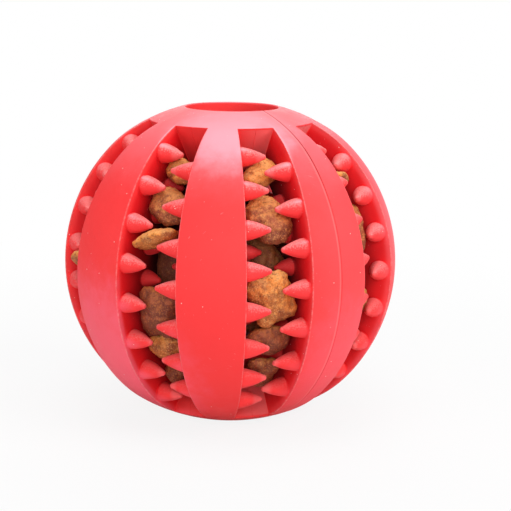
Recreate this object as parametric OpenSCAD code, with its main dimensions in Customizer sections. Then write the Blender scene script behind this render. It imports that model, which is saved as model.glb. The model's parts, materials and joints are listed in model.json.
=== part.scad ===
/* [Ball] */
// Outer diameter of the moulded ball
ball_d = 70; // [60:0.5:80]
// Thickness of the rubber wall, from the outside to the hollow
wall_t = 11; // [10:0.25:12]
// Diameter of the round mouth at each end of the axis
mouth_d = 19.3; // [16:0.1:22]
// Width of the bevel that softens the edges of both mouths
mouth_bevel = 0.6; // [0.2:0.1:1]
// Latitude above which the collar round each mouth is flatter than the ball, in degrees
collar_lat = 50; // [46:1:54]
// How far that leaves the rim of a mouth below the full round of the ball
collar_drop = 0.9; // [0.5:0.1:1.2]

/* [Slots] */
// Number of slots round the ball, with one rib between each pair
slot_count = 8; // [6:1:8]
// Width of a slot at the outside, at its middle
slot_mid_w = 13.6; // [12.7:0.1:14.6]
// Width of a slot at the outside, at its two ends
slot_end_w = 7.6; // [7:0.1:8.4]
// Latitude of the end walls of the slots, in degrees
slot_end_lat = 60; // [58:0.5:62]

/* [Teeth] */
// Depth of the outer row of teeth under the outside of the ball
outer_row_depth = 2.6; // [2.4:0.1:3]
// Diameter of an outer tooth where it leaves the wall
outer_tooth_d = 4.2; // [3.6:0.1:4.4]
// Length of an outer tooth from the wall to its tip
outer_tooth_l = 5.2; // [4.2:0.1:5.4]
// Depth of the inner row of teeth under the outside of the ball
inner_row_depth = 8.7; // [8.5:0.05:8.9]
// Diameter of an inner tooth where it leaves the wall
inner_tooth_d = 3.8; // [3.2:0.1:4]
// Length of an inner tooth from the wall to its tip
inner_tooth_l = 4; // [3.2:0.1:4.2]
// Diameter of the round tip of every tooth
tooth_tip_d = 0.85; // [0.7:0.05:1]
// Angle between neighbouring teeth of one wall, in degrees
tooth_step = 14.2; // [13.9:0.1:14.5]
// Number of outer teeth on the left wall of a slot, with one fewer on the right wall
teeth_per_wall = 8; // [4:2:8]

/* [Treats] */
// Length of a biscuit treat
treat_l = 10.6; // [9:0.1:11]
// Width of a biscuit treat
treat_w = 8.8; // [7.5:0.1:9]
// Free space between a treat and what holds it
treat_gap = 0.3; // [0.2:0.05:0.5]

/* [Hidden] */
ball_r = ball_d / 2;
cavity_r = ball_r - wall_t;
mouth_r = mouth_d / 2;
slot_angle = 360 / slot_count;
first_slot_angle = -90;

// Each collar is part of a larger sphere, which meets the ball at collar_lat and the mouth at its rim
rim_z = sqrt(ball_r * ball_r - mouth_r * mouth_r) - collar_drop;
collar_foot_z = ball_r * sin(collar_lat);
collar_centre_z = (mouth_r * mouth_r + rim_z * rim_z - ball_r * ball_r) / (2 * (rim_z - collar_foot_z));
collar_r = sqrt(mouth_r * mouth_r + pow(rim_z - collar_centre_z, 2));
cavity_rim_z = sqrt(cavity_r * cavity_r - mouth_r * mouth_r);

// The side walls are upright planes that open outwards, so a slot is narrow near the axis
slot_end_u = ball_r * cos(slot_end_lat);
slot_slope = (slot_mid_w - slot_end_w) / 2 / (ball_r - slot_end_u);
slot_root_w = slot_mid_w - 2 * slot_slope * ball_r;
wall_angle = atan(slot_slope);
wall_offset = slot_root_w / 2 * cos(wall_angle);

outer_row_r = ball_r - outer_row_depth;
inner_row_r = ball_r - inner_row_depth;
tooth_tip_r = tooth_tip_d / 2;
// How far a tooth runs back into its wall, so that the two are one piece of rubber
tooth_root_l = outer_tooth_d / 8;
// Reach of the cutting shapes past what they cut
overrun = wall_t / 10;

// Half the width of a slot at a distance u from the axis
function slot_half_w(u) = slot_root_w / 2 + slot_slope * u;

// Angle by which the side of a tooth leans in where it leaves the wall
tooth_lean = 9;
// Radius of the arc that bends the side of a tooth from its base to its round tip
function tooth_arc_r(taper, tip_z) =
    (taper * taper + tip_z * tip_z) / (2 * (taper * cos(tooth_lean) - tip_z * sin(tooth_lean)));

// Latitudes of count teeth on one wall, spread evenly about the middle of the slot
function tooth_lats(count) = [for (i = [0 : count - 1]) (i - (count - 1) / 2) * tooth_step];

// Where a treat can lie: between the two rows of teeth, behind the inner row, or outermost
BETWEEN = 0;
BEHIND = 1;
OUTER = 2;
CROSS = 0;
BONE = 1;
BEAN = 2;
OVAL = 3;
// Biscuit shapes: number of waists, their depth as a share, angle of the first, and one notch as a share
SHAPE_SHARES = [[4, 0.26, 0, 0], [2, 0.34, 90, 0], [2, 0.1, 90, 0.3], [3, 0.05, 0, 0]];
// Width of each shape as a share of the widest, which is the cross
SHAPE_WIDTH_SHARES = [1, 0.9, 0.9, 0.84];
// Depth of the outermost treats' outer edge under the outside of the ball
outer_treat_depth = outer_row_depth / 4;
// Height free between the tips of neighbouring outer teeth, which an outermost treat slips through
tip_gap = 2 * outer_row_r * sin(tooth_step / 4) - tooth_tip_d;
// Thickness of the other treats at their crown, as a share of the room between the two rows
crown_t_share = 0.69;
treat_t = crown_t_share * (outer_row_r - inner_row_r);
layer_t = [treat_t, treat_t, tip_gap];
behind_sink_share = 0.2;
layer_r = [
    (outer_row_r + inner_row_r) / 2,
    inner_row_r - inner_tooth_d / 2 - treat_gap - behind_sink_share * treat_t,
    ball_r - outer_treat_depth - treat_w / 2 * SHAPE_WIDTH_SHARES[OVAL]
];

// Rings of a biscuit from crown to edge: share of the outline and share of the half thickness
CROWN_SHARES = [[0.5, 0.82], [0.85, 0.42], [1, 0]];
treat_sides = 20;

function outline_point(shape, a) =
    let (
        s = SHAPE_SHARES[shape],
        r = 1 - s[1] * pow(cos(s[0] * (a - s[2]) / 2), 2) - s[3] * pow(max(0, sin(a)), 3)
    )
    [r * cos(a), r * sin(a)];

// Seats of the treats in a slot: name, shape, layer, height in tooth steps, place across as a share
// of half the slot, turn in degrees and size as a share
RIGHT_SHARES = [
    ["crown", BEAN, BETWEEN, 3.3, 0, 130, 0.8],
    ["upper", BONE, BETWEEN, 1.85, 0, 35, 1],
    ["heart", OVAL, BEHIND, 0.8, 0, 40, 0.95],
    ["middle", CROSS, BETWEEN, -0.3, 0, 20, 0.97],
    ["inner", CROSS, BEHIND, -1, -0.05, 0, 0.92],
    ["lower", OVAL, BETWEEN, -1.55, 0, 90, 0.88],
    ["foot", CROSS, BETWEEN, -2.8, -0.05, -10, 0.79]
];
LEFT_SHARES = [
    ["crown", BEAN, BETWEEN, 3.3, 0, 60, 0.75],
    ["upper", BONE, BETWEEN, 2.15, 0, 60, 0.88],
    ["outer", OVAL, OUTER, 1.2, -0.1, 22, 0.96],
    ["heart", CROSS, BEHIND, 0.55, 0, 0, 0.9],
    ["middle", CROSS, BETWEEN, -0.8, 0, 0, 1],
    ["lower", OVAL, BETWEEN, -1.95, 0, 90, 0.84],
    ["foot", BEAN, BETWEEN, -3.2, 0, 0, 0.82]
];
SIDE_SHARES = [
    ["outer", OVAL, OUTER, 2.7, 0.05, -24, 0.68],
    ["upper", CROSS, BETWEEN, 1.3, 0, -10, 0.97],
    ["heart", BONE, BEHIND, 0.25, 0, 70, 0.9],
    ["middle", BEAN, BETWEEN, -0.8, 0, 90, 0.96],
    ["foot", BONE, BETWEEN, -2.65, 0, 15, 0.9]
];
EDGE_SHARES = [
    ["crown", CROSS, BETWEEN, 3, -0.05, 0, 0.81],
    ["upper", BEAN, BETWEEN, 1.6, 0, 0, 0.98],
    ["outer", OVAL, OUTER, 0.25, 0, 24, 0.97],
    ["heart", CROSS, BEHIND, -0.2, 0, 0, 0.93],
    ["middle", BONE, BETWEEN, -1.2, 0, 20, 0.98],
    ["foot", CROSS, BETWEEN, -2.7, 0, -20, 0.8]
];
// Seats of each slot in turn, counted to the right from the front one
SLOT_SHARES = [
    RIGHT_SHARES, SIDE_SHARES, LEFT_SHARES, EDGE_SHARES,
    RIGHT_SHARES, SIDE_SHARES, EDGE_SHARES, LEFT_SHARES
];
TREATS = [
    for (i = [0 : slot_count - 1])
        for (seat = SLOT_SHARES[i])
            [str("treat_slot", i + 1, "_", seat[0]), i, seat]
];

// A body of revolution: hollow sphere with flattened collars and both mouths cut straight through
module hollow_ball() {
    rotate_extrude($fn = 180)
        difference() {
            intersection() {
                circle(r = ball_r);
                translate([0, collar_centre_z])
                    circle(r = collar_r);
                translate([0, -collar_centre_z])
                    circle(r = collar_r);
                translate([mouth_r, -ball_r])
                    square([ball_r, ball_d]);
            }
            circle(r = cavity_r);
            for (end = [-1, 1]) {
                mouth_bevel_cut(end * rim_z, end);
                mouth_bevel_cut(end * cavity_rim_z, -end);
            }
        }
}

// Triangle that takes the sharp edge off one rim of a mouth; side is 1 where the rubber ends upwards
module mouth_bevel_cut(edge_z, side) {
    polygon([
        [mouth_r - mouth_bevel, edge_z - side * mouth_bevel],
        [mouth_r - mouth_bevel, edge_z + side * mouth_bevel],
        [mouth_r + mouth_bevel, edge_z + side * mouth_bevel],
        [mouth_r, edge_z - side * mouth_bevel]
    ]);
}

// Space of all the slots: upright wedges between two cones that set the slanted end walls
module slots() {
    reach = ball_r + overrun;
    end_u = reach / tan(slot_end_lat);
    intersection() {
        union() {
            for (i = [0 : slot_count - 1])
                rotate([0, 0, first_slot_angle + i * slot_angle])
                    translate([0, 0, -reach])
                        linear_extrude(height = 2 * reach)
                            polygon([
                                [0, -slot_half_w(0)],
                                [reach, -slot_half_w(reach)],
                                [reach, slot_half_w(reach)],
                                [0, slot_half_w(0)]
                            ]);
        }
        rotate_extrude($fn = 120)
            polygon([[0, 0], [end_u, -reach], [2 * reach, -reach], [2 * reach, reach], [end_u, reach]]);
    }
}

// One pointed tooth along +Z, standing on the wall at z = 0: an arc for its side and a ball for its tip
module tooth(base_r, length) {
    tip_z = length - tooth_tip_r;
    arc_r = tooth_arc_r(base_r - tooth_tip_r, tip_z);
    rotate_extrude($fn = 24) {
        intersection() {
            translate([base_r - arc_r * cos(tooth_lean), -arc_r * sin(tooth_lean)])
                circle(r = arc_r, $fn = 96);
            square([base_r, tip_z]);
        }
        translate([0, -tooth_root_l])
            square([base_r, tooth_root_l]);
        translate([0, tip_z])
            intersection() {
                circle(r = tooth_tip_r);
                square(tooth_tip_r);
            }
    }
}

// A row of teeth on one wall, all the same distance from the centre of the ball
// side is -1 for the left wall and 1 for the right wall, as seen from outside
module tooth_row(side, row_r, base_r, length, count) {
    for (lat = tooth_lats(count)) {
        u = row_r * cos(lat);
        rotate([0, 0, side * wall_angle])
            translate([sqrt(u * u - wall_offset * wall_offset), side * wall_offset, row_r * sin(lat)])
                rotate([side * 90, 0, 0])
                    tooth(base_r, length);
    }
}

// The 4 rows of one slot, staggered so that teeth interleave across it and behind each other
module slot_teeth() {
    tooth_row(-1, outer_row_r, outer_tooth_d / 2, outer_tooth_l, teeth_per_wall);
    tooth_row(1, outer_row_r, outer_tooth_d / 2, outer_tooth_l, teeth_per_wall - 1);
    tooth_row(-1, inner_row_r, inner_tooth_d / 2, inner_tooth_l, teeth_per_wall - 1);
    tooth_row(1, inner_row_r, inner_tooth_d / 2, inner_tooth_l, teeth_per_wall - 2);
}

// The whole rubber moulding: collars, ribs and teeth are one piece
module ball_shell() {
    color([1, 0.3, 0.3])
        union() {
            difference() {
                hollow_ball();
                slots();
            }
            for (i = [0 : slot_count - 1])
                rotate([0, 0, first_slot_angle + i * slot_angle])
                    slot_teeth();
        }
}

// One treat in its slot
module lodged_treat(t) {
    color([0.72, 0.42, 0.16])
        rotate([0, 0, first_slot_angle + t[1] * slot_angle])
            treat_in_slot(t[2]);
}

// A treat lying in a slot, in the seat's own directions: x outwards, y to the right, z along the slot
module treat_in_slot(seat) {
    shape = seat[1];
    layer = seat[2];
    size = seat[6];
    width = treat_w * size * SHAPE_WIDTH_SHARES[shape];
    rotate([0, -seat[3] * tooth_step, 0])
        translate([layer_r[layer], seat[4] * slot_half_w(layer_r[layer] * cos(seat[3] * tooth_step)), 0])
            rotate([layer == OUTER ? seat[5] : 0, layer == OUTER ? 0 : 90, 0])
                rotate([0, 0, layer == OUTER ? 90 : seat[5]])
                    treat(shape, treat_l * size, width, layer_t[layer] * size);
}

// A pillow-shaped biscuit: rings of one outline that shrink from the edge to a crown on both faces
module treat(shape, length, width, thickness) {
    outline = [for (i = [0 : treat_sides - 1]) outline_point(shape, 360 * i / treat_sides)];
    span_x = max([for (p = outline) abs(p[0])]);
    span_y = max([for (p = outline) abs(p[1])]);
    below = [for (i = [len(CROWN_SHARES) - 2 : -1 : 0]) [CROWN_SHARES[i][0], -CROWN_SHARES[i][1]]];
    levels = concat(CROWN_SHARES, below);
    last = 1 + (len(levels) - 1) * treat_sides;
    foot = last + treat_sides;
    points = concat(
        [[0, 0, thickness / 2]],
        [for (level = levels) for (p = outline) [
            p[0] / span_x * length / 2 * level[0],
            p[1] / span_y * width / 2 * level[0],
            thickness / 2 * level[1]
        ]],
        [[0, 0, -thickness / 2]]
    );
    faces = concat(
        [for (i = [0 : treat_sides - 1]) [0, 1 + (i + 1) % treat_sides, 1 + i]],
        [for (k = [0 : len(levels) - 2]) for (i = [0 : treat_sides - 1]) for (half = [0, 1])
            let (
                j = (i + 1) % treat_sides,
                upper = 1 + k * treat_sides,
                lower = upper + treat_sides
            )
            half == 0 ? [upper + i, upper + j, lower + j] : [upper + i, lower + j, lower + i]],
        [for (i = [0 : treat_sides - 1]) [foot, last + i, last + (i + 1) % treat_sides]]
    );
    polyhedron(points, faces);
}

ball_shell();
for (t = TREATS)
    lodged_treat(t);
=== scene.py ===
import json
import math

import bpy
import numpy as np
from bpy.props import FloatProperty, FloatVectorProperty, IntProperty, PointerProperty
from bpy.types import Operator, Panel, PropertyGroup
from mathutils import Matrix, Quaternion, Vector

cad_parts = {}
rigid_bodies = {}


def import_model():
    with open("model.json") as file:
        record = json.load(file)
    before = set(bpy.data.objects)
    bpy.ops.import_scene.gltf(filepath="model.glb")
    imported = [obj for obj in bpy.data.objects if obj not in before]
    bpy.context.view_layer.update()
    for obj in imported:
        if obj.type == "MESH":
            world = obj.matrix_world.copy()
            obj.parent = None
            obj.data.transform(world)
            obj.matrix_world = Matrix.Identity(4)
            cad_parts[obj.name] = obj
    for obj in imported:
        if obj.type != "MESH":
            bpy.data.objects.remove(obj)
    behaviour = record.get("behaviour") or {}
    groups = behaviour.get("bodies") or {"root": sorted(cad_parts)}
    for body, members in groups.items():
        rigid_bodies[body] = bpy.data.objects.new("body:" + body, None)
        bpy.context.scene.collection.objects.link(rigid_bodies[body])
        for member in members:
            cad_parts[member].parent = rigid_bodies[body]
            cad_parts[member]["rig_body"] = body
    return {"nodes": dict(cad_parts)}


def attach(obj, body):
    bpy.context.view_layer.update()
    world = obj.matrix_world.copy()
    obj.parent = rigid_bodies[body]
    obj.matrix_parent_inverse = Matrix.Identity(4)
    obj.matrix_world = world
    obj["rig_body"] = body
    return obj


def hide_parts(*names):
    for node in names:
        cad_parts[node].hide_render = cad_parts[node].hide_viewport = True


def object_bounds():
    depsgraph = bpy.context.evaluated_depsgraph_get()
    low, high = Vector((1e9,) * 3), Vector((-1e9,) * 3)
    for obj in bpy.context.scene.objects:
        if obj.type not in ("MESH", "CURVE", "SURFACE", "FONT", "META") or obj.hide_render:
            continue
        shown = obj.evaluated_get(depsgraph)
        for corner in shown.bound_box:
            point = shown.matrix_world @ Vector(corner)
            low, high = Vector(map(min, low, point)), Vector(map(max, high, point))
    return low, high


bl_info = {
    "name": "Treat Dispensing Ball",
    "version": (1, 0, 0),
    "blender": (4, 5, 0),
    "location": "View3D > Sidebar > Treat Ball",
    "description": "Builds a toothed rubber ball with biscuit treats lodged in its slots",
    "category": "Add Mesh",
}

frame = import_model()

MM = 0.001
CAD_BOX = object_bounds()
FLOOR_Z = CAD_BOX[0].z

# Slots are counted to the right from the one that faces -Y. Directions are in degrees. The
# mould's parting line runs along one rib and the rib behind it.
SLOTS = 8
SLOT_STEP = 360 / SLOTS
FIRST_SLOT = -90
PARTING_RIB = -67.5


class BallSettings(PropertyGroup):
    """Sizes of the rubber moulding: those of the CAD source, then of fine edges and grooves."""

    radius: FloatProperty(
        name="Radius", description="Outer radius of the ball", default=0.035, unit="LENGTH"
    )
    cavity: FloatProperty(
        name="Cavity radius", description="Radius of the hollow inside",
        default=0.024, unit="LENGTH",
    )
    mouth: FloatProperty(
        name="Mouth radius", description="Radius of the round mouths",
        default=0.00965, unit="LENGTH",
    )
    slot_root: FloatProperty(
        name="Slot root", description="Half width that a slot's walls would have at the axis",
        default=0.0008, precision=6, unit="LENGTH",
    )
    slot_slope: FloatProperty(
        name="Slot slope", description="How fast half a slot widens away from the axis",
        default=0.17142857, precision=6,
    )
    slot_end: FloatProperty(
        name="Slot end", description="Latitude of the end walls of the slots",
        default=math.radians(60), subtype="ANGLE",
    )
    collar_radius: FloatProperty(
        name="Collar radius",
        description="Radius of the larger sphere that a flat collar is part of",
        default=0.03899259, precision=6, unit="LENGTH",
    )
    collar_centre: FloatProperty(
        name="Collar centre", description="How far that sphere's centre lies past the ball's",
        default=0.00503623, precision=6, unit="LENGTH",
    )
    edge_round: FloatProperty(
        name="Edge rounding", description="Rounding of the edges of ribs and slots",
        default=0.0002, precision=5, unit="LENGTH",
    )
    mouth_round: FloatProperty(
        name="Mouth rounding", description="Rounding of the edges of the mouths",
        default=0.0006, precision=5, unit="LENGTH",
    )
    line_depth: FloatProperty(
        name="Parting line", description="Half width of the groove where the mould halves met",
        default=0.0001, precision=5, unit="LENGTH",
    )


class ToothSettings(PropertyGroup):
    """Sizes of the pointed teeth on the walls of the slots."""

    step: FloatProperty(
        name="Step", description="Angle between neighbouring teeth of one wall",
        default=math.radians(14.2), subtype="ANGLE",
    )
    outer_row: FloatProperty(
        name="Outer row", description="Distance of the outer teeth from the centre",
        default=0.0324, precision=4, unit="LENGTH",
    )
    outer_base: FloatProperty(
        name="Outer base", description="Radius of an outer tooth at the wall",
        default=0.0021, precision=4, unit="LENGTH",
    )
    outer_length: FloatProperty(
        name="Outer length", description="Length of an outer tooth", default=0.0052,
        precision=4, unit="LENGTH",
    )
    inner_row: FloatProperty(
        name="Inner row", description="Distance of the inner teeth from the centre",
        default=0.0263, precision=4, unit="LENGTH",
    )
    inner_base: FloatProperty(
        name="Inner base", description="Radius of an inner tooth at the wall",
        default=0.0019, precision=4, unit="LENGTH",
    )
    inner_length: FloatProperty(
        name="Inner length", description="Length of an inner tooth", default=0.004,
        precision=4, unit="LENGTH",
    )
    tip: FloatProperty(
        name="Tip radius", description="Radius of the round tip", default=0.00064,
        precision=5, unit="LENGTH",
    )
    lean: FloatProperty(
        name="Lean", description="Angle by which a tooth's side leans in where it leaves the wall",
        default=math.radians(8), subtype="ANGLE",
    )
    per_wall: IntProperty(
        name="Teeth per wall", description="Outer teeth on the left wall of a slot", default=8
    )


class TreatSettings(PropertyGroup):
    """Surface of the biscuits."""

    swell: FloatProperty(
        name="Swell", description="How far the rounded crust stands out from the plain shape",
        default=0.0002, precision=5, unit="LENGTH",
    )
    grid: FloatProperty(
        name="Grid", description="Size of the squares that a biscuit's surface is made of",
        default=0.0003, precision=5, unit="LENGTH",
    )
    lumps: FloatProperty(
        name="Lumps", description="Height of the lumps in the crust", default=0.0009,
        precision=5, unit="LENGTH",
    )
    lump_size: FloatProperty(
        name="Lump size", description="Width of the lumps in the crust", default=0.0026,
        precision=5, unit="LENGTH",
    )
    grains: FloatProperty(
        name="Grains", description="Height of the grains in the crust", default=0.0003,
        precision=5, unit="LENGTH",
    )
    grain_size: FloatProperty(
        name="Grain size", description="Width of the grains in the crust", default=0.0008,
        precision=5, unit="LENGTH",
    )


class FinishSettings(PropertyGroup):
    """Colours of rubber and biscuit, and of the painted light and shade on them."""

    rubber: FloatVectorProperty(
        name="Rubber", description="Colour of the clean rubber", subtype="COLOR",
        default=(0.94, 0.043, 0.044), min=0, max=1,
    )
    patch: FloatVectorProperty(
        name="Patch", description="Colour of broad darker patches of the rubber", subtype="COLOR",
        default=(0.88, 0.032, 0.038), min=0, max=1,
    )
    # Painted shade: the redder, darker rubber on the slots' walls, where little light reaches.
    wall: FloatVectorProperty(
        name="Wall", description="Colour of the rubber on the walls of the slots", subtype="COLOR",
        default=(0.8, 0.011, 0.016), min=0, max=1,
    )
    # Painted shade deep in the slots.
    deep_shade: FloatVectorProperty(
        name="Deep", description="Colour of the rubber deep in the slots", subtype="COLOR",
        default=(0.2, 0.001, 0.003), min=0, max=1,
    )
    # Painted shade: the nearly black rubber round the hollow.
    hollow_shade: FloatVectorProperty(
        name="Hollow", description="Colour of the rubber round the dark hollow", subtype="COLOR",
        default=(0.03, 0.001, 0.001), min=0, max=1,
    )
    # Painted highlight: the pale pink of surfaces that face up and of the right rim, where lamps
    # reflect.
    painted_highlight: FloatVectorProperty(
        name="Bloom", description="Colour of the pale film on surfaces that face up",
        subtype="COLOR", default=(0.94, 0.5, 0.6), min=0, max=1,
    )
    # Painted bounce light: the pink low on the sides.
    painted_bounce_light: FloatVectorProperty(
        name="Film", description="Colour of the pink film low on the sides", subtype="COLOR",
        default=(0.98, 0.13, 0.19), min=0, max=1,
    )
    # Pale dust on the rubber, used also for the painted highlight on the teeth and the painted
    # light on the end walls.
    dust_and_highlight: FloatVectorProperty(
        name="Dust", description="Colour of crumbs and dust on the rubber", subtype="COLOR",
        default=(0.95, 0.45, 0.44), min=0, max=1,
    )
    speck: FloatVectorProperty(
        name="Speck", description="Colour of the specks on the rubber", subtype="COLOR",
        default=(0.95, 0.8, 0.76), min=0, max=1,
    )
    crust: FloatVectorProperty(
        name="Crust", description="Main colour of a biscuit", subtype="COLOR",
        default=(0.38, 0.088, 0.028), min=0, max=1,
    )
    toasted: FloatVectorProperty(
        name="Toasted", description="Colour of the darker patches of a biscuit", subtype="COLOR",
        default=(0.15, 0.026, 0.01), min=0, max=1,
    )
    # Painted shade on a biscuit's parts deep in a slot.
    biscuit_deep_shade: FloatVectorProperty(
        name="Burnt", description="Colour of a biscuit's parts deep in a slot", subtype="COLOR",
        default=(0.07, 0.014, 0.006), min=0, max=1,
    )
    golden: FloatVectorProperty(
        name="Golden", description="Colour of the lighter patches of a biscuit", subtype="COLOR",
        default=(0.83, 0.27, 0.038), min=0, max=1,
    )
    grain: FloatVectorProperty(
        name="Grain", description="Colour of the pale grains of a biscuit", subtype="COLOR",
        default=(0.95, 0.5, 0.17), min=0, max=1,
    )


class StageSettings(PropertyGroup):
    """Camera and light."""

    distance: FloatProperty(
        name="Distance", description="Distance of the camera from the ball's centre",
        default=0.3305, unit="LENGTH",
    )
    azimuth: FloatProperty(
        name="Azimuth", description="Direction of the camera round the ball",
        default=math.radians(-16.31), subtype="ANGLE",
    )
    elevation: FloatProperty(
        name="Elevation", description="Height of the camera above the horizon",
        default=math.radians(11.39), subtype="ANGLE",
    )
    roll: FloatProperty(
        name="Roll", description="Turn of the camera round its own axis",
        default=math.radians(0.766), subtype="ANGLE",
    )
    lens: FloatProperty(name="Lens", description="Focal length in millimetres", default=109.16)
    aim_right: FloatProperty(
        name="Aim right", description="How far to the right of the ball's centre the camera looks",
        default=0.00533, precision=5, unit="LENGTH",
    )
    aim_up: FloatProperty(
        name="Aim up", description="How far above the ball's centre the camera looks",
        default=0.00085, precision=5, unit="LENGTH",
    )


def only(*objects):
    """Selects these objects and nothing else, the first one active."""
    bpy.ops.object.select_all(action="DESELECT")
    for obj in objects:
        obj.select_set(True)
    bpy.context.view_layer.objects.active = objects[0]


def points(obj):
    """The places of an object's vertices as an array."""
    found = np.zeros(len(obj.data.vertices) * 3)
    obj.data.vertices.foreach_get("co", found)
    return found.reshape(-1, 3)


def move_points(obj, places):
    """Gives an object's vertices new places."""
    obj.data.vertices.foreach_set("co", np.asarray(places, float).ravel())
    obj.data.update()


def pick(obj, kind, wanted):
    """Goes into edit mode with the wanted edges or faces ("polygons") selected."""
    only(obj)
    bpy.ops.object.mode_set(mode="EDIT")
    bpy.ops.mesh.select_mode(type={"edges": "EDGE", "polygons": "FACE"}[kind])
    bpy.ops.mesh.select_all(action="DESELECT")
    bpy.ops.object.mode_set(mode="OBJECT")
    getattr(obj.data, kind).foreach_set("select", np.asarray(wanted, bool))
    bpy.ops.object.mode_set(mode="EDIT")


def edge_ends(obj):
    """Vertex numbers of each edge as an array of pairs."""
    ends = np.zeros(len(obj.data.edges) * 2, int)
    obj.data.edges.foreach_get("vertices", ends)
    return ends.reshape(-1, 2)


def loop_edges(obj):
    """The edge number of each face corner."""
    edges = np.zeros(len(obj.data.loops), int)
    obj.data.loops.foreach_get("edge_index", edges)
    return edges


def join(name, *objects):
    """Joins objects into the first one and names it."""
    only(*objects)
    if len(objects) > 1:
        bpy.ops.object.join()
    objects[0].name = objects[0].data.name = name
    return objects[0]


def settle(obj):
    """Puts an object's place, turn and size into its mesh."""
    only(obj)
    bpy.ops.object.transform_apply(location=True, rotation=True, scale=True)


def apply_modifier(obj, kind, **settings):
    """Adds a modifier with these settings and applies it."""
    only(obj)
    modifier = obj.modifiers.new(kind.title(), kind)
    for name, value in settings.items():
        setattr(modifier, name, value)
    bpy.ops.object.modifier_apply(modifier=modifier.name)


def boolean(obj, tool, operation):
    """Cuts or fuses obj with a closed tool, which is then deleted."""
    apply_modifier(obj, "BOOLEAN", operation=operation, solver="MANIFOLD", object=tool)
    mesh = tool.data
    bpy.data.objects.remove(tool)
    bpy.data.meshes.remove(mesh)


# A sphere's grid before it is bent to the slots' outlines: each slot's wall runs along one
# meridian, and its end and the mouth's rim along one ring each.
SEGMENTS = 192
RINGS = 96
RING_STEP = 180 / RINGS
SLOT_END_RING = 33
MOUTH_RING = 37
WALL_SEGMENT = 6
EVEN_EDGE = WALL_SEGMENT * 360 / SEGMENTS

# How softly a collar meets the ball, and how near a vertex lies to the surface that it is on.
CREASE = 0.12 * MM
ON_OUTSIDE = 0.03 * MM
ON_CAVITY = 0.02 * MM

# Edges over the first angle, in degrees, are rounded, and those over the second are shaded crisp.
SHARP_EDGE = 40
CRISP_EDGE = 35
MOUTH_ROUND_SEGMENTS = 4
EDGE_ROUND_SEGMENTS = 2
PAST_SLOT = math.radians(1)  # how far past a slot's end the edges of its outline are looked for


def from_slot_middle(longitude):
    """Signed angle in degrees from the middle of the nearest slot."""
    return (longitude - FIRST_SLOT + SLOT_STEP / 2) % SLOT_STEP - SLOT_STEP / 2


def slot_edge_angle(ball, across):
    """Angle from a slot's middle to its wall, at a distance across from the axis."""
    flare = math.atan(ball.slot_slope)
    return np.degrees(np.arcsin(ball.slot_root * math.cos(flare) / across) + flare)


def outer_radius(latitude, ball):
    """Distance of the ball's outside from its centre, which is less on the flat collars."""
    low = ball.collar_centre * np.sin(np.abs(latitude))
    flat = np.sqrt(ball.collar_radius ** 2 - ball.collar_centre ** 2 * np.cos(latitude) ** 2) - low
    return -CREASE * np.logaddexp(-flat / CREASE, -ball.radius / CREASE)


def slotted_sphere(name, radius, ball):
    """A sphere with rings and meridians along the slots' outlines, slots and mouths open."""
    bpy.ops.mesh.primitive_uv_sphere_add(segments=SEGMENTS, ring_count=RINGS, radius=radius)
    sphere = bpy.context.object
    sphere.name = name
    start = points(sphere)
    ring = np.degrees(np.arcsin(np.clip(start[:, 2] / radius, -1, 1))) / RING_STEP
    turn = np.degrees(np.arctan2(start[:, 1], start[:, 0]))

    centres = np.array([p.center for p in sphere.data.polygons])
    centre_latitude = np.degrees(np.arcsin(centres[:, 2] / np.linalg.norm(centres, axis=1)))
    centre_ring = np.abs(centre_latitude) / RING_STEP
    centre_turn = np.degrees(np.arctan2(centres[:, 1], centres[:, 0]))
    in_slot = np.abs(from_slot_middle(centre_turn)) < EVEN_EDGE
    opened = (in_slot & (centre_ring < SLOT_END_RING)) | (centre_ring > MOUTH_RING)

    slot_end = math.degrees(ball.slot_end)
    outer = radius == ball.radius
    collar_rim_z = math.sqrt(ball.collar_radius ** 2 - ball.mouth ** 2) - ball.collar_centre
    rim_z = collar_rim_z if outer else math.sqrt(radius ** 2 - ball.mouth ** 2)
    mouth_latitude = math.degrees(math.atan2(rim_z, ball.mouth))
    latitude = np.sign(ring) * np.interp(
        np.abs(ring), [0, SLOT_END_RING, MOUTH_RING, RINGS / 2], [0, slot_end, mouth_latitude, 90]
    )
    across = radius * np.cos(np.radians(np.minimum(np.abs(latitude), slot_end)))
    edge = slot_edge_angle(ball, across)
    away = from_slot_middle(turn)
    share_in = np.abs(away) / EVEN_EDGE
    share_out = (np.abs(away) - EVEN_EDGE) / (SLOT_STEP / 2 - EVEN_EDGE)
    bent = np.where(share_in <= 1, share_in * edge, edge + share_out * (SLOT_STEP / 2 - edge))
    longitude = np.radians(turn - away + np.sign(away) * bent)
    latitude = np.radians(latitude)
    reach = outer_radius(latitude, ball) if outer else radius
    move_points(sphere, (reach * np.stack([
        np.cos(latitude) * np.cos(longitude),
        np.cos(latitude) * np.sin(longitude),
        np.sin(latitude),
    ])).T)
    pick(sphere, "polygons", opened)
    bpy.ops.mesh.delete(type="FACE")
    bpy.ops.object.mode_set(mode="OBJECT")
    return sphere


def open_edges(obj):
    """Which edges have a face on one side only."""
    counts = np.zeros(len(obj.data.edges), int)
    np.add.at(counts, loop_edges(obj), 1)
    return counts == 1


def sharp_edges(obj, degrees):
    """Which edges have faces that meet at more than this angle."""
    polygons = obj.data.polygons
    edges = loop_edges(obj)
    faces = np.repeat(np.arange(len(polygons)), [p.loop_total for p in polygons])
    normals = np.zeros(len(polygons) * 3)
    polygons.foreach_get("normal", normals)
    normals = normals.reshape(-1, 3)
    order = np.argsort(edges, kind="stable")
    shared = edges[order][:-1] == edges[order][1:]
    first, second = order[:-1][shared], order[1:][shared]
    cosine = (normals[faces[first]] * normals[faces[second]]).sum(1)
    result = np.zeros(len(obj.data.edges), bool)
    result[edges[first]] = cosine < math.cos(math.radians(degrees))
    return result


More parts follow.
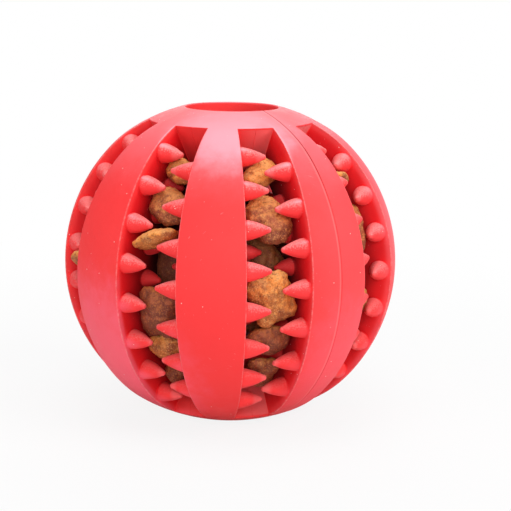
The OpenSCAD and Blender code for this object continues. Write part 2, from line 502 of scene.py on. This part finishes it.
def round_edges(shell, ball, mouths):
    """Rounds the rims of the mouths, or the edges of the slots, inside and outside."""
    places, ends = points(shell), edge_ends(shell)
    distance = np.linalg.norm(places, axis=1)
    latitude = np.arcsin(places[:, 2] / distance)
    on_sphere = np.abs(distance - outer_radius(latitude, ball)) < ON_OUTSIDE
    on_cavity = np.abs(distance - ball.cavity) < ON_CAVITY
    rim = np.abs(np.hypot(places[:, 0], places[:, 1]) - ball.mouth) < ON_OUTSIDE
    along = on_sphere[ends].all(1) | on_cavity[ends].all(1)
    along = along & sharp_edges(shell, SHARP_EDGE)
    pick(shell, "edges", along & (rim[ends].all(1) if mouths else ~rim[ends].any(1)))
    bpy.ops.mesh.bevel(
        offset=ball.mouth_round if mouths else ball.edge_round,
        segments=MOUTH_ROUND_SEGMENTS if mouths else EDGE_ROUND_SEGMENTS,
        profile=0.5, affect="EDGES",
    )
    bpy.ops.object.mode_set(mode="OBJECT")


def make_shell(ball):
    """The hollow slotted ball, before its teeth."""
    outside = slotted_sphere("rubber_ball", ball.radius, ball)
    inside = slotted_sphere("cavity", ball.cavity, ball)
    only(inside)
    bpy.ops.object.mode_set(mode="EDIT")
    bpy.ops.mesh.select_all(action="SELECT")
    bpy.ops.mesh.flip_normals()
    bpy.ops.object.mode_set(mode="OBJECT")
    shell = join("rubber_ball", outside, inside)

    # Walls join the two spheres round each slot, and then round the upper and the lower mouth.
    end = ball.slot_end + PAST_SLOT
    for opening in range(SLOTS + 2):
        middle = points(shell)[edge_ends(shell)].mean(1)
        latitude = np.arcsin(middle[:, 2] / np.linalg.norm(middle, axis=1))
        turn = np.degrees(np.arctan2(middle[:, 1], middle[:, 0]))
        if opening < SLOTS:
            off = (turn - FIRST_SLOT - opening * SLOT_STEP + 180) % 360 - 180
            here = (np.abs(latitude) < end) & (np.abs(off) < SLOT_STEP / 2)
        else:
            here = latitude > end if opening == SLOTS else latitude < -end
        pick(shell, "edges", open_edges(shell) & here)
        bpy.ops.mesh.bridge_edge_loops()
        bpy.ops.object.mode_set(mode="OBJECT")

    pick(shell, "polygons", np.ones(len(shell.data.polygons), bool))
    bpy.ops.mesh.normals_make_consistent(inside=False)
    bpy.ops.object.mode_set(mode="OBJECT")
    round_edges(shell, ball, mouths=True)
    round_edges(shell, ball, mouths=False)
    return shell


TOOTH_SIDES = 18
TOOTH_RINGS = 6
RING_CROWDING = 1.15  # over 1, a tooth's rings lie closer together towards its tip
TIP_ANGLES = (0.45, 0.9, 1.25)  # radians, of the rings on a tooth's round tip
TOOTH_ROOT = 0.6 * MM  # how deep a tooth starts under the wall


def make_tooth(base, length, teeth):
    """One tooth along +Z from its root under the wall, its side an arc and its tip round."""
    tip, lean = teeth.tip, teeth.lean
    tip_z, taper = length - tip, base - tip
    arc = (taper ** 2 + tip_z ** 2) / (2 * (taper * math.cos(lean) - tip_z * math.sin(lean)))
    centre_r, centre_z = base - arc * math.cos(lean), -arc * math.sin(lean)
    shares = [1 - (1 - k / TOOTH_RINGS) ** RING_CROWDING for k in range(TOOTH_RINGS + 1)]
    heights = [tip_z * share for share in shares]
    rings = [(z, centre_r + math.sqrt(arc ** 2 - (z - centre_z) ** 2)) for z in heights]
    rings += [(tip_z + tip * math.sin(a), tip * math.cos(a)) for a in TIP_ANGLES]
    bpy.ops.mesh.primitive_circle_add(
        vertices=TOOTH_SIDES, radius=base, fill_type="NGON", location=(0, 0, -TOOTH_ROOT)
    )
    tooth = bpy.context.object
    settle(tooth)
    bpy.ops.object.mode_set(mode="EDIT")
    bpy.ops.mesh.select_all(action="SELECT")
    height, radius = -TOOTH_ROOT, base
    for z, r in rings:
        bpy.ops.mesh.extrude_region_move(TRANSFORM_OT_translate={"value": (0, 0, z - height)})
        bpy.ops.transform.resize(value=(r / radius, r / radius, 1), center_override=(0, 0, z))
        height, radius = z, r
    bpy.ops.mesh.poke(offset=length - height)
    bpy.ops.mesh.select_all(action="SELECT")
    bpy.ops.mesh.normals_make_consistent(inside=False)
    bpy.ops.object.mode_set(mode="OBJECT")
    return tooth


def tooth_places(ball, teeth):
    """Place and kind of each tooth: its matrix and whether it is an outer one."""
    flare = math.atan(ball.slot_slope)
    wall = ball.slot_root * math.cos(flare)
    most = teeth.per_wall
    rows = [
        (-1, teeth.outer_row, most, True), (1, teeth.outer_row, most - 1, True),
        (-1, teeth.inner_row, most - 1, False), (1, teeth.inner_row, most - 2, False),
    ]
    found = []
    for slot in range(SLOTS):
        for side, row, count, outer in rows:
            turn = math.radians(FIRST_SLOT + slot * SLOT_STEP) + side * flare
            for k in range(count):
                latitude = (k - (count - 1) / 2) * teeth.step
                along_wall = math.sqrt((row * math.cos(latitude)) ** 2 - wall ** 2)
                place = Vector((along_wall, side * wall, row * math.sin(latitude)))
                matrix = (Matrix.Rotation(turn, 4, "Z") @ Matrix.Translation(place)
                          @ Matrix.Rotation(side * math.pi / 2, 4, "X"))
                found.append((matrix, outer))
    return found


def add_teeth(shell, ball, teeth):
    """Fuses all the teeth with the walls of the slots."""
    kinds = {
        True: make_tooth(teeth.outer_base, teeth.outer_length, teeth),
        False: make_tooth(teeth.inner_base, teeth.inner_length, teeth),
    }
    copies = []
    for matrix, outer in tooth_places(ball, teeth):
        mesh = kinds[outer].data.copy()
        mesh.transform(matrix)
        copy = bpy.data.objects.new("tooth", mesh)
        bpy.context.scene.collection.objects.link(copy)
        copies.append(copy)
    for kind in kinds.values():
        bpy.data.objects.remove(kind)
    boolean(shell, join("teeth", *copies), "UNION")


GROOVE_SEGMENTS = 288
GROOVE_SIDES = 8
ROD_OVERRUN = 2 * MM  # how much longer the rod that cuts a groove is than the wall is thick


def cut_mould_lines(shell, ball):
    """Cuts the mould's fine grooves: one round the ball, one in each end wall of the slots."""
    bpy.ops.mesh.primitive_torus_add(
        major_radius=ball.radius, minor_radius=ball.line_depth,
        major_segments=GROOVE_SEGMENTS, minor_segments=GROOVE_SIDES,
        rotation=(math.pi / 2, 0, math.radians(PARTING_RIB)),
    )
    groove = bpy.context.object
    settle(groove)
    boolean(shell, groove, "DIFFERENCE")
    middle = (ball.radius + ball.cavity) / 2
    for end in (-1, 1):
        for slot in range(SLOTS):
            bpy.ops.mesh.primitive_cylinder_add(
                vertices=GROOVE_SIDES, radius=ball.line_depth,
                depth=ball.radius - ball.cavity + ROD_OVERRUN,
            )
            rod = bpy.context.object
            turn = Matrix.Rotation(math.radians(FIRST_SLOT + slot * SLOT_STEP), 4, "Z")
            tilt = Matrix.Rotation(math.pi / 2 - end * ball.slot_end, 4, "Y")
            rod.data.transform(turn @ tilt @ Matrix.Translation((0, 0, middle)))
            boolean(shell, rod, "DIFFERENCE")


def finish_shading(obj, degrees):
    """Smooth curved faces, flat walls and crisp edges."""
    only(obj)
    bpy.ops.object.shade_smooth_by_angle(angle=math.radians(degrees), keep_sharp_edges=False)
    apply_modifier(obj, "WEIGHTED_NORMAL", keep_sharp=True)


# The first swelling and smoothing of a biscuit: a share of the set swell, and rounds of smoothing.
PLAIN_CRUST = (1, 3)
OUTER_CRUST = (1.4, 27)
SMOOTHING = 0.5
WELD = 0.001 * MM  # vertices that lie closer than this become one
LUMP_DETAIL = 2
GRAIN_DETAIL = 1


def cloud_texture(name, size, detail):
    """Noise with features of this size, for displacing a surface."""
    texture = bpy.data.textures.new(name, "CLOUDS")
    texture.noise_scale = size
    texture.noise_depth = detail
    return texture


def make_biscuit(name, node, sizes, lumps, grains):
    """A crusty, lumpy version of a CAD treat."""
    piece = bpy.data.objects.new(name.replace("treat_", "biscuit_"), node.data.copy())
    bpy.context.scene.collection.objects.link(piece)
    only(piece)
    bpy.ops.object.mode_set(mode="EDIT")
    bpy.ops.mesh.select_all(action="SELECT")
    bpy.ops.mesh.remove_doubles(threshold=WELD)
    bpy.ops.object.mode_set(mode="OBJECT")
    plump, rounds = OUTER_CRUST if name.endswith("outer") else PLAIN_CRUST
    apply_modifier(piece, "DISPLACE", strength=sizes.swell * plump, mid_level=0)
    apply_modifier(piece, "REMESH", mode="VOXEL", voxel_size=sizes.grid, use_smooth_shade=True)
    apply_modifier(piece, "SMOOTH", factor=SMOOTHING, iterations=rounds)
    apply_modifier(piece, "DISPLACE", texture=lumps, strength=sizes.lumps, mid_level=0.5)
    apply_modifier(piece, "DISPLACE", texture=grains, strength=sizes.grains, mid_level=0.5)
    piece.data.materials.clear()
    return piece


class Value:
    """A shader socket that is used in sums like a number."""

    def __init__(self, tree, socket):
        self.tree = tree
        self.socket = socket

    def math(self, operation, *others, clamp=False):
        """The result of a Math node on this value and the others."""
        node = self.tree.nodes.new("ShaderNodeMath")
        node.operation = operation
        node.use_clamp = clamp
        for socket, value in zip(node.inputs, (self, *others)):
            connect(self.tree, value, socket)
        return Value(self.tree, node.outputs[0])

    def __add__(self, other):
        return self.math("ADD", other)

    def __sub__(self, other):
        return self.math("SUBTRACT", other)

    def __rsub__(self, other):
        return (self * -1).math("ADD", other)

    def __mul__(self, other):
        return self.math("MULTIPLY", other)

    def __truediv__(self, other):
        return self.math("DIVIDE", other)

    def __abs__(self):
        return self.math("ABSOLUTE")


def connect(tree, value, socket):
    """Links a value to a socket, or sets the socket to a number or colour."""
    if isinstance(value, Value):
        tree.links.new(value.socket, socket)
    elif hasattr(socket.default_value, "__len__") and len(value) < len(socket.default_value):
        socket.default_value = (*value, 1)
    else:
        socket.default_value = value


class Finish:
    """A material whose nodes are written as sums."""

    def __init__(self, name, constants):
        self.material = bpy.data.materials.new(name)
        self.material.use_nodes = True
        self.tree = self.material.node_tree
        self.surface = self.tree.nodes["Principled BSDF"]
        self.give(constants)

    def give(self, values):
        """Sets or links the surface's own sockets."""
        for name, value in values.items():
            connect(self.tree, value, self.surface.inputs[name])

    def node(self, kind, settings, sockets, output=0):
        """Adds a node, with its settings first, then the values or links of its sockets."""
        node = self.tree.nodes.new(kind)
        for name, value in settings.items():
            setattr(node, name, value)
        for name, value in sockets.items():
            connect(self.tree, value, node.inputs[name])
        return Value(self.tree, node.outputs[output])

    def place(self, scale):
        """Object coordinates times a scale, so that 1000 gives millimetres."""
        place = self.node("ShaderNodeTexCoord", {}, {}, output="Object")
        settings = {"operation": "SCALE"}
        return self.node("ShaderNodeVectorMath", settings, {0: place, "Scale": scale})

    def normal(self):
        """The direction that the surface faces."""
        return self.node("ShaderNodeNewGeometry", {}, {}, output="Normal")

    def part(self, vector, axis):
        """A vector's x, y or z, by number."""
        return self.node("ShaderNodeSeparateXYZ", {}, {"Vector": vector}, output=axis)

    def length(self, vector):
        """A vector's length."""
        return self.node("ShaderNodeVectorMath", {"operation": "LENGTH"}, {0: vector}, output=1)

    def towards(self, vector, direction):
        """How far a vector points in a direction."""
        settings = {"operation": "DOT_PRODUCT"}
        return self.node("ShaderNodeVectorMath", settings, {0: vector, 1: direction}, output=1)

    def noise(self, place, scale, detail=2, roughness=0.5):
        """Noise from 0 to 1 with features of about 1 / scale."""
        return self.node("ShaderNodeTexNoise", {}, {
            "Vector": place, "Scale": scale, "Detail": detail, "Roughness": roughness,
        })

    def step(self, value, low, high, first=0, last=1):
        """A smooth step from first, where value is low, to last, where it is high."""
        return self.node("ShaderNodeMapRange", {"interpolation_type": "SMOOTHSTEP"}, {
            "Value": value, "From Min": low, "From Max": high, "To Min": first, "To Max": last,
        })

    def coat(self, colour, *coats):
        """Covers a colour with others in turn, each given with its share."""
        for share, tone in coats:
            sockets = {0: share, 6: colour, 7: tone}
            colour = self.node("ShaderNodeMix", {"data_type": "RGBA"}, sockets, output=2)
        return colour

    def bump(self, height, distance, normal=None):
        """A bump from a height of 0 to 1 that stands for this distance in metres."""
        sockets = {"Height": height, "Distance": distance, "Strength": 1}
        if normal is not None:
            sockets["Normal"] = normal
        return self.node("ShaderNodeBump", {}, sockets)


class RubberPlace:
    """Where a point of the rubber lies: lengths in millimetres, angles in radians."""

    def __init__(self, finish, ball):
        self.place = finish.place(1 / MM)
        self.x, self.y, self.z = (finish.part(self.place, axis) for axis in range(3))
        self.radius = finish.length(self.place)
        self.normal = finish.normal()
        self.up = finish.part(self.normal, 2)

        # How deep the point lies under the ball's sphere or a collar's flatter one.
        sine = abs(self.z) / self.radius
        collar, centre = ball.collar_radius / MM, ball.collar_centre / MM
        flat = (sine * sine * centre ** 2 + (collar ** 2 - centre ** 2)).math("SQRT")
        self.depth = (flat - sine * centre).math("MINIMUM", ball.radius / MM) - self.radius
        self.outside = finish.step(self.depth, 0.12, 0.4, 1, 0)

        # How far it lies from the middle of the nearest slot, and behind that slot's wall.
        self.across = (self.x * self.x + self.y * self.y).math("SQRT")
        away = self.y.math("ARCTAN2", self.x).math("PINGPONG", math.pi / SLOTS)
        flare = math.atan(ball.slot_slope)
        self.from_middle = self.across * away.math("SINE")
        self.into_rib = (
            self.from_middle * math.cos(flare)
            - self.across * away.math("COSINE") * math.sin(flare)
            - ball.slot_root / MM * math.cos(flare)
        )

        # Shares that go to 0 at the slot's end: its edges, its walls and its teeth. The last
        # share goes to 1 there, on the end wall itself.
        latitude, end = sine.math("ARCSINE"), ball.slot_end
        self.along_slot = finish.step(latitude, end, end - 0.008)
        self.in_slot = finish.step(latitude, end - 0.012, end - 0.004, 1, 0.05)
        self.tooth = finish.step(self.into_rib, -0.2, -0.5) * finish.step(
            latitude, end - 0.01, end - 0.03
        )
        self.end_wall = (finish.step(latitude, end - 0.008, end)
                         * finish.step(self.depth, 0.2, 0.6) * finish.step(self.across, 11, 12))


# The direction that the painted highlight faces, and those in which the painted reflection on the
# right rim and the painted bounce light low on the sides lie.
HIGHLIGHT_TOWARDS = (-0.14, -0.48, 0.866)
RIM_REFLECTION_TOWARDS = (0.9, -0.1, 0.3)
LEFT_BOUNCE_TOWARDS = (-0.79, -0.35, -0.5)
RIGHT_BOUNCE_TOWARDS = (0.48, -0.72, -0.5)


def bare_rubber(finish, at, colours):
    """The rubber's colour with broad random patches, and painted shade: redder and darker on the
    slots' walls, darker deeper in, and nearly black round the hollow.
    """
    broad = finish.noise(at.place, 0.06, 3, 0.55)
    # Painted shade on the walls, deeper in the slots and round the hollow, less on the teeth.
    wall = finish.step(at.depth, 0.1, 2.2) * (1 - at.tooth) * at.in_slot
    deep_shade = finish.step(at.depth, 2, 8.5) * at.in_slot * (0.95 - at.tooth * 0.6)
    hollow_shade = finish.step(at.depth, 8, 10.8) * at.in_slot * (0.9 - at.tooth * 0.6)
    return finish.coat(
        colours.rubber, (finish.step(broad, 0.3, 0.7) * 0.2, colours.patch),
        (wall, colours.wall), (deep_shade, colours.deep_shade), (hollow_shade, colours.hollow_shade),
    )


def painted_highlight_and_reflection(finish, at, cloudy, fine):
    """Shares of the painted highlight, mostly on top, a little on the right and on the right rim,
    and of the painted pink bounce light low on the sides.
    """
    near_surface = finish.step(at.depth, 1.5, 0.4)
    # Painted highlight from the lamp above, strongest where the surface faces it, and a little
    # painted light on the right side.
    facing_highlight = finish.towards(at.normal, HIGHLIGHT_TOWARDS)
    painted_highlight = finish.step(at.up + (cloudy - 0.5) * 0.16, 0.44, 0.9) * 0.2 + (fine - 0.5) * 0.04
    painted_highlight = painted_highlight + finish.step(facing_highlight + (cloudy - 0.5) * 0.06, 0.91, 1) * 0.42
    painted_highlight = painted_highlight * finish.step(at.up, 0.86, 0.97, 1, 0.75)
    painted_highlight = painted_highlight + finish.step(at.x, 2, 16) * 0.045
    # Painted reflection at grazing angles on the right rim.
    rim = finish.towards(at.place, RIM_REFLECTION_TOWARDS) / at.radius
    painted_highlight = (painted_highlight + finish.step(rim, 0.76, 1) * 0.26) * near_surface

    # Painted bounce light low on the left and right sides.
    uneven = (cloudy - 0.5) * 0.2
    left = finish.towards(at.place, LEFT_BOUNCE_TOWARDS) / at.radius + uneven
    right = finish.towards(at.place, RIGHT_BOUNCE_TOWARDS) / at.radius + uneven
    painted_bounce_light = finish.step(left, 0.78, 1) * 0.8 + finish.step(right, 0.84, 1) * 0.3
    return painted_highlight.math("MAXIMUM", 0, clamp=True), painted_bounce_light * near_surface


def rubber_finish(ball, colours):
    """Matte moulded rubber: painted highlight on top, dust and painted highlight on the teeth,
    painted shade in the slots, flash along the ribs, mould line darkened with painted shade.
    """
    finish = Finish("coral_rubber", {
        "Specular IOR Level": 0.2, "Sheen Weight": 0.05, "Sheen Roughness": 0.4,
        "Sheen Tint": (1, 0.62, 0.7),
    })
    at = RubberPlace(finish, ball)
    cloudy = finish.noise(at.place, 0.35, 5, 0.6)
    fine = finish.noise(at.place, 5, 3, 0.6)
    painted_highlight, painted_bounce_light = painted_highlight_and_reflection(finish, at, cloudy, fine)

    # Dust on the teeth's upper sides, partly painted highlight from the light above, fading deeper
    # in the slot and lower down; a painted highlight on the outer teeth's tips.
    crumbs = finish.noise(at.place, 3.2, 2, 0.6)
    dust_and_highlight_share = at.tooth * finish.step(at.up + (crumbs - 0.5) * 2.2, 0.05, 1.1)
    dust_and_highlight_share = dust_and_highlight_share * finish.step(at.depth, 9, 2) * finish.step(at.z, -26, 8, 0.2, 1)
    # Painted highlight on the outer teeth's tips.
    tip = at.tooth * finish.step(at.from_middle, 1.9, 0.7) * finish.step(at.depth, 4.2, 3.4)

    # Ragged flash along the slots' edges, and the mould's line with its pale lip; the line's
    # groove is darkened with painted shade.
    flash = finish.step(abs(at.into_rib), 0.12, 0.28, 1, 0) * at.along_slot * at.outside
    flash = flash * finish.step(finish.noise(at.place, 1.4, 4, 0.7), 0.35, 0.65, 0.15, 1)
    part = math.radians(PARTING_RIB)
    from_line = at.y * math.cos(part) - at.x * math.sin(part)
    groove_shade = finish.step(abs(from_line), 0.06, 0.2, 1, 0) * at.outside
    lip = finish.step(abs(from_line + 0.4), 0.05, 0.3, 1, 0) * at.outside

    # Specks and long scratches.
    speck = finish.node("ShaderNodeTexVoronoi", {}, {"Vector": at.place, "Scale": 0.5})
    specks = finish.step(speck, 0.03, 0.07, 1, 0)
    specks = specks * finish.step(finish.noise(at.place, 0.4, 1), 0.43, 0.52)
    stretched = finish.node("ShaderNodeMapping", {}, {
        "Vector": at.place, "Rotation": (0.4, 0.3, 0.7), "Scale": (0.3, 6, 1.2),
    })
    scratch = finish.step(finish.noise(stretched, 0.9, 2), 0.72, 0.76)

    colour = finish.coat(
        bare_rubber(finish, at, colours),
        # Painted light on the slots' end walls, stronger on the right side.
        (at.end_wall * finish.step(at.x, -6, 6, 0.02, 0.3), colours.dust_and_highlight),
        # Painted bounce light low on the sides, then the painted highlight on top.
        (painted_bounce_light, colours.painted_bounce_light), (painted_highlight, colours.painted_highlight),
        # Dust with painted highlight on the teeth's upper sides, and painted highlight on their
        # tips.
        (dust_and_highlight_share * 0.42, colours.dust_and_highlight), (tip * 0.16, colours.dust_and_highlight),
        (flash * 0.32, colours.dust_and_highlight), (scratch * 0.18, colours.dust_and_highlight),
        (specks * 0.8, colours.speck), (lip * 0.14, colours.dust_and_highlight),
        # Painted shade in the mould line's groove, stronger towards the top.
        (groove_shade * finish.step(at.z, 12, 26, 0.1, 0.85), colours.deep_shade),
    )
    relief = finish.bump(finish.noise(at.place, 0.5, 2, 0.5), 0.06 * MM)
    relief = finish.bump(finish.noise(at.place, 9, 3, 0.65), 0.015 * MM, relief)
    relief = finish.bump(flash + specks + dust_and_highlight_share * fine, 0.05 * MM, relief)
    roughness = finish.step(cloudy, 0.2, 0.8, 0.46, 0.62)
    finish.give({"Base Color": colour, "Roughness": roughness, "Normal": relief})
    return finish.material


def blend(first, second, share):
    """A colour between two others."""
    return tuple(a + (b - a) * share for a, b in zip(first, second))


def biscuit_finish(name, baked, ball, colours):
    """Baked crust, from golden to toasted: pale grains and dark pores, with painted highlight on
    top and painted shade on the undersides and deep in the slot.
    """
    finish = Finish(name, {"Roughness": 0.62, "Specular IOR Level": 0.45})
    place = finish.place(1 / MM)
    depth = ball.radius / MM - finish.length(place)
    base = blend(colours.golden, colours.crust, min(baked * 2, 1))
    dark = blend(colours.crust, colours.toasted, 0.65 + baked * 0.35)
    light = blend(colours.grain, colours.golden, 0.2 + baked * 0.8)
    light = blend(light, colours.crust, baked * baked * 0.6)

    patches = finish.noise(place, 0.32, 3, 0.55)
    mottled = finish.noise(place, 0.9, 3, 0.6)
    salt = finish.noise(place, 3.4, 2, 0.6)
    pepper = finish.noise(place, 2.6, 2, 0.6)
    pores = finish.step(finish.noise(place, 1.5, 2, 0.5), 0.27, 0.37, 1, 0)
    # Painted light: paler where the crust faces up, and painted shade on the undersides and deeper
    # in the slot.
    lit_from_above = finish.part(finish.normal(), 2) + (mottled - 0.5) * 0.7
    shaded = finish.step(lit_from_above - finish.step(depth, 2, 8) * 0.45, 0.2, -0.35)
    colour = finish.coat(
        base, (finish.step(patches, 0.44, 0.64) * 0.78, dark),
        (finish.step(mottled, 0.48, 0.68) * 0.35, light),
        # Painted highlight on the tops.
        (finish.step(lit_from_above, 0.25, 0.85) * 0.6, light),
        (shaded * (0.5 + baked * 0.45), dark),
        (finish.step(pepper, 0.52, 0.68) * 0.4, colours.toasted),
        (finish.step(salt, 0.52, 0.7) * 0.55, light),
        (pores * 0.4, colours.toasted),
        # Painted shade deep in the slot.
        (finish.step(depth, 3.5, 9.5) * 0.6, colours.biscuit_deep_shade),
    )
    relief = finish.bump(mottled - pores * 0.5, 0.3 * MM)
    relief = finish.bump(salt - pepper, 0.1 * MM, relief)
    finish.give({"Base Color": colour, "Normal": relief})
    return finish.material


FLOOR_SIZE = 6  # metres
FLOOR_GREY = 0.68
SHADOW_REACH = (0.06, 0.2)  # metres from the middle over which the shadow fades out
SHADOW_GLOW = 0.87  # share of pure white that the camera sees on the floor under the ball
WORLD_LIGHT = 0.24  # the camera sees the world at full strength, the ball is lit by this share
SENSOR_WIDTH = 36  # millimetres
NEAREST_SEEN = 0.01  # metres

# Each lamp's place in metres to the front, to the right and up, its size and its power.
LAMPS = {
    "back_softbox": (-0.55, 0, 0.3, 0.4, 1.5),
    "top_softbox": (0.1, 0, 0.55, 0.4, 1.8),
    "left_softbox": (0.25, -0.5, 0.1, 0.35, 0.75),
    "right_softbox": (0.25, 0.5, 0.3, 0.35, 2.3),
    "front_softbox": (0.62, 0, 0.22, 0.35, 1.4),
}


def backdrop_finish():
    """White floor: the camera sees a glow with only the soft shadow of the ball in it."""
    finish = Finish("pale_floor", {
        "Base Color": (FLOOR_GREY,) * 3, "Roughness": 0.9, "Specular IOR Level": 0.1,
    })
    seen = finish.node("ShaderNodeLightPath", {}, {}, output="Is Camera Ray")
    reach = finish.length(finish.place(1))
    glow = finish.node("ShaderNodeEmission", {}, {"Color": (1, 1, 1), "Strength": 1})
    mixed = finish.node("ShaderNodeMixShader", {}, {
        0: seen * finish.step(reach, *SHADOW_REACH, SHADOW_GLOW, 1),
        1: Value(finish.tree, finish.surface.outputs[0]), 2: glow,
    })
    finish.tree.links.new(mixed.socket, finish.tree.nodes["Material Output"].inputs["Surface"])
    return finish.material


def studio_world():
    """Soft light from all round that looks white to the camera."""
    world = bpy.data.worlds.new("studio")
    world.use_nodes = True
    tree = world.node_tree
    background = tree.nodes["Background"].inputs
    background["Color"].default_value = (1, 1, 1, 1)
    seen = Value(tree, tree.nodes.new("ShaderNodeLightPath").outputs["Is Camera Ray"])
    connect(tree, seen * (1 - WORLD_LIGHT) + WORLD_LIGHT, background["Strength"])
    return world


class TREATBALL_OT_moulding(Operator):
    """Builds the rubber ball with its slots, mouths and teeth"""

    bl_idname = "treatball.moulding"
    bl_label = "Rubber Moulding"

    def execute(self, context):
        ball, teeth = context.scene.treatball_ball, context.scene.treatball_teeth
        shell = make_shell(ball)
        cut_mould_lines(shell, ball)
        add_teeth(shell, ball, teeth)
        finish_shading(shell, CRISP_EDGE)
        shell.data.materials.clear()
        shell.data.materials.append(rubber_finish(ball, context.scene.treatball_finish))
        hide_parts("ball_shell")
        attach(shell, "ball")
        return {"FINISHED"}


# How long each tone of biscuit was baked, from 0 to 1, and each biscuit's tone: by its height
# in the slot, and then for the ones that differ.
BAKED = {"golden": 0.05, "brown": 0.5, "toasted": 0.9}
TONES = {
    "crown": "golden", "upper": "brown", "outer": "golden", "heart": "brown",
    "middle": "toasted", "inner": "golden", "lower": "golden", "foot": "brown",
}
OTHER_TONES = {
    "treat_slot1_heart": "golden", "treat_slot1_middle": "golden", "treat_slot1_lower": "toasted",
    "treat_slot2_middle": "golden", "treat_slot4_upper": "golden", "treat_slot4_heart": "toasted",
    "treat_slot6_upper": "golden", "treat_slot7_middle": "brown", "treat_slot8_lower": "golden",
}


class TREATBALL_OT_treats(Operator):
    """Builds the biscuits that are lodged in the slots"""

    bl_idname = "treatball.treats"
    bl_label = "Biscuit Treats"

    def execute(self, context):
        ball, sizes = context.scene.treatball_ball, context.scene.treatball_treats
        colours = context.scene.treatball_finish
        crusts = {
            tone: biscuit_finish(tone + "_biscuit", baked, ball, colours)
            for tone, baked in BAKED.items()
        }
        lumps = cloud_texture("crust_lumps", sizes.lump_size, LUMP_DETAIL)
        grains = cloud_texture("crust_grains", sizes.grain_size, GRAIN_DETAIL)
        for name in sorted(n for n in frame["nodes"] if n.startswith("treat_")):
            node = frame["nodes"][name]
            piece = make_biscuit(name, node, sizes, lumps, grains)
            tone = OTHER_TONES.get(name, TONES[name.split("_")[-1]])
            piece.data.materials.append(crusts[tone])
            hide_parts(name)
            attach(piece, node["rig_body"])
        return {"FINISHED"}


class TREATBALL_OT_stage(Operator):
    """Sets up the floor, the soft studio light and the camera"""

    bl_idname = "treatball.stage"
    bl_label = "Stage"

    def execute(self, context):
        stage = context.scene.treatball_stage
        bpy.ops.mesh.primitive_plane_add(size=FLOOR_SIZE, location=(0, 0, FLOOR_Z))
        floor = bpy.context.object
        floor.name = "floor"
        settle(floor)
        floor.data.materials.append(backdrop_finish())

        front = Vector((math.sin(stage.azimuth), -math.cos(stage.azimuth), 0))
        right = Vector((math.cos(stage.azimuth), math.sin(stage.azimuth), 0))
        top = Vector((0, 0, 1))
        back = front * math.cos(stage.elevation) + top * math.sin(stage.elevation)
        aim = right * stage.aim_right + back.cross(right) * stage.aim_up
        bpy.ops.object.camera_add(location=back * stage.distance)
        camera = bpy.context.object
        look = (aim - camera.location).to_track_quat("-Z", "Y")
        camera.rotation_euler = (look @ Quaternion((0, 0, 1), stage.roll)).to_euler()
        camera.data.sensor_width = SENSOR_WIDTH
        camera.data.lens = stage.lens
        camera.data.clip_start = NEAREST_SEEN
        context.scene.camera = camera

        for name, (forward, sideways, up, size, power) in LAMPS.items():
            place = front * forward + right * sideways + top * up
            bpy.ops.object.light_add(type="AREA", location=place)
            lamp = bpy.context.object
            lamp.name = name
            lamp.rotation_euler = (-place).to_track_quat("-Z", "Y").to_euler()
            lamp.data.shape = "SQUARE"
            lamp.data.size = size
            lamp.data.energy = power
        context.scene.world = studio_world()
        context.scene.view_settings.view_transform = "Standard"
        return {"FINISHED"}


class TREATBALL_PT_panel(Panel):
    """Sizes, colours and building steps of the treat ball"""

    bl_idname = "TREATBALL_PT_panel"
    bl_label = "Treat Ball"
    bl_space_type = "VIEW_3D"
    bl_region_type = "UI"
    bl_category = "Treat Ball"

    def draw(self, context):
        for operator in OPERATORS:
            self.layout.operator(operator.bl_idname)
        for name in GROUPS:
            group = getattr(context.scene, name)
            box = self.layout.box()
            for prop in group.__annotations__:
                box.prop(group, prop)


OPERATORS = (TREATBALL_OT_stage, TREATBALL_OT_moulding, TREATBALL_OT_treats)
GROUPS = {
    "treatball_ball": BallSettings,
    "treatball_teeth": ToothSettings,
    "treatball_treats": TreatSettings,
    "treatball_finish": FinishSettings,
    "treatball_stage": StageSettings,
}


def register():
    """Makes the classes and their settings known to Blender."""
    for cls in (*GROUPS.values(), *OPERATORS, TREATBALL_PT_panel):
        bpy.utils.register_class(cls)
    for name, group in GROUPS.items():
        setattr(bpy.types.Scene, name, PointerProperty(type=group))


def unregister():
    """Takes the settings and the classes away again."""
    for name in GROUPS:
        delattr(bpy.types.Scene, name)
    for cls in reversed((*GROUPS.values(), *OPERATORS, TREATBALL_PT_panel)):
        bpy.utils.unregister_class(cls)


def main():
    """Builds the stage and all the pieces."""
    register()
    bpy.ops.treatball.stage()
    bpy.ops.treatball.moulding()
    bpy.ops.treatball.treats()
    bpy.context.view_layer.update()


if __name__ == "__main__":
    main()
